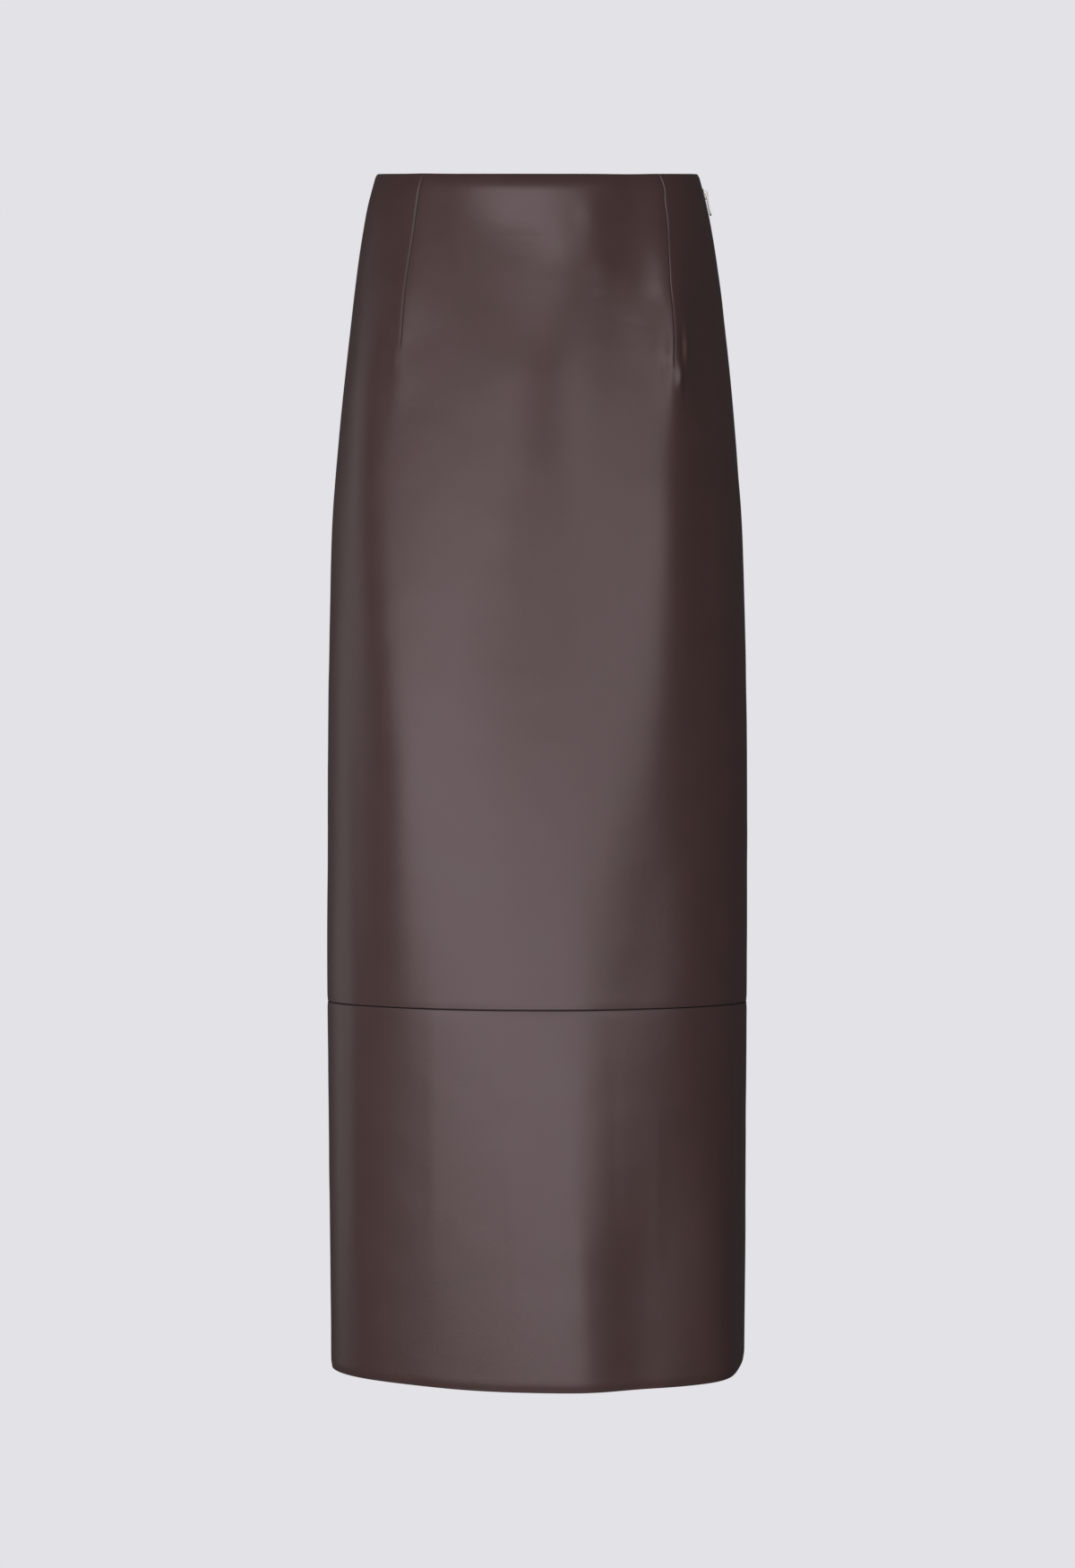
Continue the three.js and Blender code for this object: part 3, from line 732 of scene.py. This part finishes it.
def wovenTape():
    # Herringbone polyester tape: ribs lean one way, then the other, and catch the light in turn
    material, tree = newMaterial("wovenPolyesterTape")
    t = tapeWeave
    place = node(tree, "ShaderNodeUVMap", uv_map="mmMap").outputs["UV"]
    split = node(tree, "ShaderNodeSeparateXYZ", {"Vector": place})
    lean = node(tree, "ShaderNodeMath", {0: split.outputs["X"], 1: t["herring"]}, operation="PINGPONG")
    along = node(tree, "ShaderNodeMath", {0: split.outputs["Y"], 1: lean.outputs["Value"]}, operation="ADD")
    rib = node(tree, "ShaderNodeMath", {0: along.outputs["Value"], 1: t["rib"]}, operation="PINGPONG")
    height = node(tree, "ShaderNodeMapRange", {"Value": rib.outputs["Value"], "From Max": t["rib"]},
                  interpolation_type="SMOOTHSTEP").outputs["Result"]
    fuzz = node(tree, "ShaderNodeTexNoise", {"Vector": place, "Scale": 3.0, "Detail": 3.0})
    shade = node(tree, "ShaderNodeMath", {0: height, 1: fuzz.outputs["Fac"]}, operation="MULTIPLY")
    colour = node(tree, "ShaderNodeMix", {
        "Factor": shade.outputs["Value"], "A": linear(t["shadow"]), "B": linear(t["yarn"])}, data_type="RGBA")
    surface(tree, {"Base Color": colour.outputs["Result"], "Normal": relief(tree, height, t["depth"]),
                   "Roughness": 0.8, "IOR": 1.5})
    return material


def mouldedCoil():
    # Drawn nylon wire, dyed brown: a small hard glint on every turn
    material, tree = newMaterial("drawnNylonCoil")
    place = node(tree, "ShaderNodeTexCoord").outputs["Object"]
    flow = node(tree, "ShaderNodeTexNoise", {"Vector": place, "Scale": coilNylon["flow"], "Detail": 2.0})
    surface(tree, {"Base Color": linear(coilNylon["colour"]), "IOR": 1.53,
                   "Roughness": wandering(tree, flow.outputs["Fac"], coilNylon)})
    return material


def nickelPlate():
    # Nickel plate on cast zinc, tumbled to a satin: pale, soft highlights, hair scratches from wear
    material, tree = newMaterial("tumbledNickelPlate")
    place = node(tree, "ShaderNodeTexCoord").outputs["Object"]
    scratch = noise(tree, place, nickel["scratchSize"], Detail=5.0, Roughness=0.7)
    surface(tree, {"Base Color": linear(nickel["colour"]), "Metallic": 1.0,
                   "Roughness": wandering(tree, scratch, nickel),
                   "Normal": relief(tree, scratch, nickel["scratchDepth"])})
    return material


tapeCloth, coilWire, plated = wovenTape(), mouldedCoil(), nickelPlate()


def meshPiece(name, points, faces, material, sharp=45):
    mesh = bpy.data.meshes.new(name)
    mesh.from_pydata(np.asarray(points).tolist(), [], [[int(i) for i in f] for f in faces])
    mesh.materials.append(material)
    mesh.polygons.foreach_set("use_smooth", [True] * len(mesh.polygons))
    mesh.set_sharp_from_angle(angle=math.radians(sharp))
    mesh.update()
    piece = bpy.data.objects.new(name, mesh)
    bpy.context.collection.objects.link(piece)
    return piece


def tube(path, radius, sides):
    # points and faces of a round wire along a path, with closed ends
    path = np.asarray(path, float)
    along = np.gradient(path, axis=0)
    along /= np.linalg.norm(along, axis=1)[:, None]
    side = np.cross(along, [0.3, 0.2, 0.93])
    side /= np.linalg.norm(side, axis=1)[:, None]
    up = np.cross(along, side)
    turns = np.linspace(0, 2 * math.pi, sides, endpoint=False)
    ring = np.cos(turns)[None, :, None] * side[:, None] + np.sin(turns)[None, :, None] * up[:, None]
    points = (path[:, None] + radius * ring).reshape(-1, 3)
    faces = []
    for i in range(len(path) - 1):
        for k in range(sides):
            a, b = i * sides + k, i * sides + (k + 1) % sides
            faces.append((a, b, b + sides, a + sides))
    last = (len(path) - 1) * sides
    return points, faces + [tuple(range(sides))[::-1], tuple(range(last, last + sides))]


def besideZip(across, drop, inward):
    # a point inside the skirt, across from the zip's middle line
    return leather(90 + np.degrees(across / atDrop("frontDepth", drop)), drop, inward, False)


def tapeHalf(side):
    # one tape, with its selvedge along the coil rolled a little
    z = zipSizes
    across = np.array([z["tapeSplit"], 1.2, 2.4, 5.0, 8.5, 11.4, z["tapeWidth"] / 2])
    drop = np.linspace(z["tapeTop"], z["length"], 68)
    a, d = np.meshgrid(across, drop, indexing="ij")
    edge = z["selvedge"] * bump((a - z["tapeWidth"] / 2) / z["selvedgeWidth"])
    front = besideZip(side * a, d, z["tapeInside"] + edge)
    back = besideZip(side * a, d, z["tapeInside"] + z["tapeThickness"] - edge)
    columns, rows = a.shape
    at = lambda layer, i, j: (layer * columns + i) * rows + j
    faces = []
    for i in range(columns - 1):
        for j in range(rows - 1):
            faces.append((at(0, i, j), at(0, i, j + 1), at(0, i + 1, j + 1), at(0, i + 1, j)))
            faces.append((at(1, i, j), at(1, i + 1, j), at(1, i + 1, j + 1), at(1, i, j + 1)))
        for j in (0, rows - 1):
            faces.append((at(0, i, j), at(0, i + 1, j), at(1, i + 1, j), at(1, i, j))[::1 if j == 0 else -1])
    for j in range(rows - 1):
        for i in (0, columns - 1):
            faces.append((at(0, i, j), at(1, i, j), at(1, i, j + 1), at(0, i, j + 1))[::1 if i == 0 else -1])
    if side < 0:
        faces = [f[::-1] for f in faces]
    flat = np.stack([side * a, d], -1).reshape(-1, 2)
    return np.concatenate([front.reshape(-1, 3), back.reshape(-1, 3)]), faces, np.concatenate([flat, flat])


def zipTape():
    points, faces, flat = [], [], []
    for side in (1, -1):
        more, quads, place = tapeHalf(side)
        faces += [tuple(i + sum(map(len, points)) for i in f) for f in quads]
        points.append(more)
        flat.append(place)
    piece = meshPiece("zip_tape_woven", np.concatenate(points), faces, tapeCloth)
    flat = np.concatenate(flat)
    layer = piece.data.uv_layers.new(name="mmMap")
    corners = np.empty(len(piece.data.loops), int)
    piece.data.loops.foreach_get("vertex_index", corners)
    layer.data.foreach_set("uv", flat[corners].ravel())
    return piece


def zipCoil():
    # two rows of coil that interlock: each is a flattened helix, half a turn apart
    z, points, faces = zipSizes, [], []
    turns = (z["length"] - z["coilTop"]) / z["coilPitch"]
    turned = np.linspace(0, turns * 2 * math.pi, int(turns * 10))
    for side in (1, -1):
        halfTurn = 0.5 if side > 0 else 0
        drop = z["coilTop"] + z["coilPitch"] * (turned / (2 * math.pi) + halfTurn) * z["coilShrink"]
        across = side * z["coilApart"] + z["coilHalfWidth"] * np.cos(turned)
        inward = z["tapeInside"] + z["tapeThickness"] + z["coilHalfDepth"] * (1 + np.sin(turned))
        more, quads = tube(besideZip(across, drop, inward), z["coilWire"] * mm, 5)
        faces += [tuple(i + sum(map(len, points)) for i in f) for f in quads]
        points.append(more)
    return meshPiece("zip_coil", np.concatenate(points), faces, coilWire)


def plate(name, loops, thickness, edge):
    # a flat plate cut to loops of (x, y) points in mm, with rounded edges; its middle plane is z 0
    curve = bpy.data.curves.new(name, "CURVE")
    curve.dimensions, curve.fill_mode = "2D", "BOTH"
    curve.extrude, curve.bevel_depth, curve.bevel_resolution = thickness / 2 - edge, edge, 3
    curve.offset = -edge
    for loop in loops:
        spline = curve.splines.new("POLY")
        spline.points.add(len(loop) - 1)
        for point, (x, y) in zip(spline.points, loop):
            point.co = (x, y, 0, 1)
        spline.use_cyclic_u = True
    cutter = bpy.data.objects.new(name, curve)
    bpy.context.collection.objects.link(cutter)
    bpy.context.view_layer.update()
    mesh = bpy.data.meshes.new_from_object(cutter.evaluated_get(bpy.context.evaluated_depsgraph_get()))
    bpy.data.objects.remove(cutter)
    mesh.transform(Matrix.Scale(mm, 4))
    return mesh


def arc(x, y, radius, start, end, steps=8):
    turns = np.radians(np.linspace(start, end, steps + 1))
    return [(x + radius * math.cos(t), y + radius * math.sin(t)) for t in turns]


def sliderFrame(tilt):
    # local x along the ring, y up the seam, z out of the leather, at the middle of the tab's bar
    joints = frame["record"]["behaviour"]["joints"]
    hinge = Vector(next(joint["pos_m"] for joint in joints if joint["name"] == "pull_hinge"))
    out = Vector((math.cos(tilt), 0, math.sin(tilt)))
    up = Vector((-math.sin(tilt), 0, math.cos(tilt)))
    return Matrix.Translation(hinge) @ Matrix((Vector((0, 1, 0)), up, out)).transposed().to_4x4()


def sliderTilt():
    z = zipSizes
    top, foot = (leather(90.0, z["sliderDrop"] + side * z["plateLength"] / 2, 0.0, False) for side in (-1, 1))
    return math.atan2(foot[0] - top[0], top[2] - foot[2])


def zipSlider():
    # shield-shaped plate, the bridge that holds the tab's bar, and the body that runs on the coil inside
    z = zipSizes
    half, nose, long = z["plateWidth"] / 2, z["noseWidth"] / 2, z["plateLength"] / 2
    r, q = z["plateCorner"], z["noseCorner"]
    shield = (arc(half - r, long - r, r, 0, 90) + arc(-half + r, long - r, r, 90, 180)
              + arc(-nose + q, -long + q, q, 180, 270) + arc(nose - q, -long + q, q, 270, 360))
    face = plate("shield", [shield], z["plateThickness"], z["metalEdge"])
    plateMiddle = -z["bridgeRoom"] / 2 - z["plateThickness"] / 2
    face.transform(Matrix.Translation((0, 0, plateMiddle * mm)))
    span, roomTop = z["bridgeLength"] / 2, z["bridgeRoom"] / 2
    crown, foot = roomTop + z["bridgeStock"], plateMiddle
    inner = span - z["bridgeStock"]
    r, q = z["bridgeCorner"], z["bridgeInside"]
    arch = ([(foot, -span)] + arc(crown - r, -span + r, r, -90, 0) + arc(crown - r, span - r, r, 0, 90)
            + [(foot, span), (foot, inner)] + arc(roomTop - q, inner - q, q, 90, 0)
            + arc(roomTop - q, -inner + q, q, 0, -90) + [(foot, -inner)])
    bridge = plate("arch", [arch], z["bridgeWidth"], z["metalEdge"])
    bridge.transform(Matrix(((0, 0, 1, 0), (0, 1, 0, 0), (1, 0, 0, 0), (0, 0, 0, 1))))
    bridge.flip_normals()
    broad, r = z["bodyWidth"] / 2, z["bodyCorner"]
    shell = (arc(broad - r, long - r, r, 0, 90) + arc(-broad + r, long - r, r, 90, 180)
             + arc(-nose + 0.4, -long + 1, 1, 180, 270) + arc(nose - 0.4, -long + 1, 1, 270, 360))
    body = plate("body", [shell], z["bodyThickness"], z["bodyEdge"])
    body.transform(Matrix.Translation((0, 0, -z["bodyInside"] * mm - z["bodyThickness"] * mm)))
    return joined("zip_slider_plated", [face, bridge, body], plated)


def joined(name, meshes, material):
    points, faces = [], []
    for mesh in meshes:
        start = len(points)
        points += [tuple(v.co) for v in mesh.vertices]
        faces += [tuple(start + i for i in p.vertices) for p in mesh.polygons]
    return meshPiece(name, points, faces, material, 35)


def zipTab():
    # two arms hang from the bar under the bridge; the tab widens from its neck to a round end
    t = tab
    arm, end = t["windowHalfWidth"] + t["armWidth"], -t["length"] + t["tipHalfWidth"]
    neck, r = t["neckHalfWidth"], t["shoulder"]
    outline = ([(-arm, 0), (-neck, -t["neckEnd"])] + arc(0, end, t["tipHalfWidth"], 180, 360, 20)
               + [(neck, -t["neckEnd"]), (arm, 0)] + arc(arm - r, 0.1, r, 0, 90)
               + arc(-arm + r, 0.1, r, 90, 180))
    wide, foot, r = t["windowHalfWidth"], -t["windowEnd"], t["windowCorner"]
    window = (arc(-wide + r, foot + r, r, 180, 270) + arc(wide - r, foot + r, r, 270, 360)
              + [(wide, -t["barRadius"] + 0.1), (-wide, -t["barRadius"] + 0.1)])
    blade = plate("blade", [outline, window[::-1]], t["thickness"], t["edge"])
    bar = bpy.data.meshes.new("bar")
    points, faces = tube(np.stack([np.linspace(-arm, arm, 3), np.zeros(3), np.zeros(3)], -1) * mm,
                         t["barRadius"] * mm, 16)
    bar.from_pydata(points.tolist(), [], faces)
    return joined("zip_pull_plated", [blade, bar], plated)


print("skirt: zip")
tape, coil, slider, pullTab = zipTape(), zipCoil(), zipSlider(), zipTab()
slider.data.transform(sliderFrame(sliderTilt()))
pullTab.data.transform(sliderFrame(sliderTilt()) @ Matrix.Rotation(math.radians(tab["restTilt"]), 4, "X"))
for piece, body, nodeName in ((tape, "skirt", "zip_tape"), (slider, "skirt", "zip_slider"),
                              (pullTab, "pull", "zip_pull")):
    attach(piece, body)
    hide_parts(nodeName)
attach(coil, "skirt")


# Studio

print("skirt: studio")
studio = {
    "backdrop": "#e3e2e7", "coveRadius": 30.0, "floorSize": 20.0, "floorDrop": 1150.0,
    "ambient": 0.06,
    "bounceSize": (5.0, 3.6), "bouncePlace": (0, 2.7, -1.14), "bouncePower": 110.0,
}


def rectangleLight(name, width, height, place, target, power, colour="#ffffff"):
    light = bpy.data.lights.new(name, "AREA")
    light.shape = "RECTANGLE"
    light.size, light.size_y, light.energy = width, height, power
    light.color = linear(colour)[:3]
    lamp = bpy.data.objects.new(name, light)
    bpy.context.collection.objects.link(lamp)
    lamp.location = place
    lamp.rotation_euler = (Vector(target) - Vector(place)).to_track_quat("-Z", "Y").to_euler()
    lamp.visible_camera = False
    return lamp


def paleStage():
    # one even tone all round and a floor of the same, seen by the camera alone, so that they light nothing
    material, tree = newMaterial("paintedCove")
    glow = node(tree, "ShaderNodeEmission", {"Color": linear(studio["backdrop"]), "Strength": 1.0})
    node(tree, "ShaderNodeOutputMaterial", {"Surface": glow.outputs["Emission"]})
    made = []
    bpy.ops.mesh.primitive_uv_sphere_add(segments=64, ring_count=32, radius=studio["coveRadius"],
                                         location=(0, 0, 0))
    made.append(bpy.context.object)
    made[-1].name = "studio_cove"
    bpy.ops.mesh.primitive_plane_add(size=studio["floorSize"], location=(0, 0, -studio["floorDrop"] * mm))
    made.append(bpy.context.object)
    made[-1].name = "studio_floor"
    for piece in made:
        piece.data.materials.append(material)
        for ray in ("diffuse", "glossy", "transmission", "volume_scatter", "shadow"):
            setattr(piece, "visible_" + ray, False)
        piece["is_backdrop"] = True


paleStage()
world = bpy.data.worlds.new("studioAir")
bpy.context.scene.world = world
world.use_nodes = True
world.node_tree.nodes["Background"].inputs["Color"].default_value = linear("#ffffff")
world.node_tree.nodes["Background"].inputs["Strength"].default_value = studio["ambient"]

# Softboxes stand round the skirt: (azimuth from the front, plus to the right of the picture and minus
# to its left; low and high edge; width; power for each square metre; distance), in degrees, metres, watts
softboxes = {
    "keySoftbox": (-40, -1.3, 0.2, 1.7, 9.1, 2.3),
    "frontSoftbox": (0, -1.45, -0.3, 1.7, 9.6, 2.3),
    "rightSoftbox": (34, -0.75, 0.45, 1.2, 7.3, 2.3),
    "overheadSoftbox": (-8, 1.3, 2.3, 2.3, 15.8, 2.3),
    "leftEdgeStrip": (-112, -1.35, 0.5, 1.2, 2.0, 2.3),
    "backKeySoftbox": (145, -1.3, 0.2, 1.7, 8.0, 2.3),
    "backFillSoftbox": (190, -1.3, 0.0, 1.5, 6.0, 2.3),
    "backHighSoftbox": (180, 1.5, 2.6, 2.2, 9.0, 2.5),
}
for name, (azimuth, low, high, width, power, distance) in softboxes.items():
    a = math.radians(azimuth)
    place = (math.sin(a) * distance, -math.cos(a) * distance, (low + high) / 2)
    rectangleLight(name, width, high - low, place, (0, 0, place[2]), power * width * (high - low))

# Light that comes back off the floor behind, for views of the back
spot = studio["bouncePlace"]
floorBounce = rectangleLight("floorBounce", *studio["bounceSize"], spot, (*spot[:2], 0),
                             studio["bouncePower"])
floorBounce.visible_glossy = False

# Two softboxes shine on the back pieces alone, so that they leave no rim on the front.
behind = bpy.data.collections.new("backPieces")
for name in ("back_panel", "back_lower_left", "back_lower_right"):
    behind.objects.link(pieces[name])
for name in ("backKeySoftbox", "backFillSoftbox"):
    bpy.data.objects[name].light_linking.receiver_collection = behind

bpy.context.scene.view_settings.view_transform = "Standard"
bpy.context.scene.view_settings.look = "None"

# The camera stands about level with the middle of the skirt's length, 2.6 m in front of it.
camera = {"height": -484.8, "distance": 2600.0, "lens": 74.9, "film": 36.0}
lens = bpy.data.cameras.new("photoCamera")
lens.sensor_fit, lens.sensor_height, lens.lens = "VERTICAL", camera["film"], camera["lens"]
viewer = bpy.data.objects.new("photoCamera", lens)
bpy.context.collection.objects.link(viewer)
viewer.location = (0, -camera["distance"] * mm, camera["height"] * mm)
viewer.rotation_euler = (math.radians(90), 0, 0)
bpy.context.scene.camera = viewer

low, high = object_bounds()
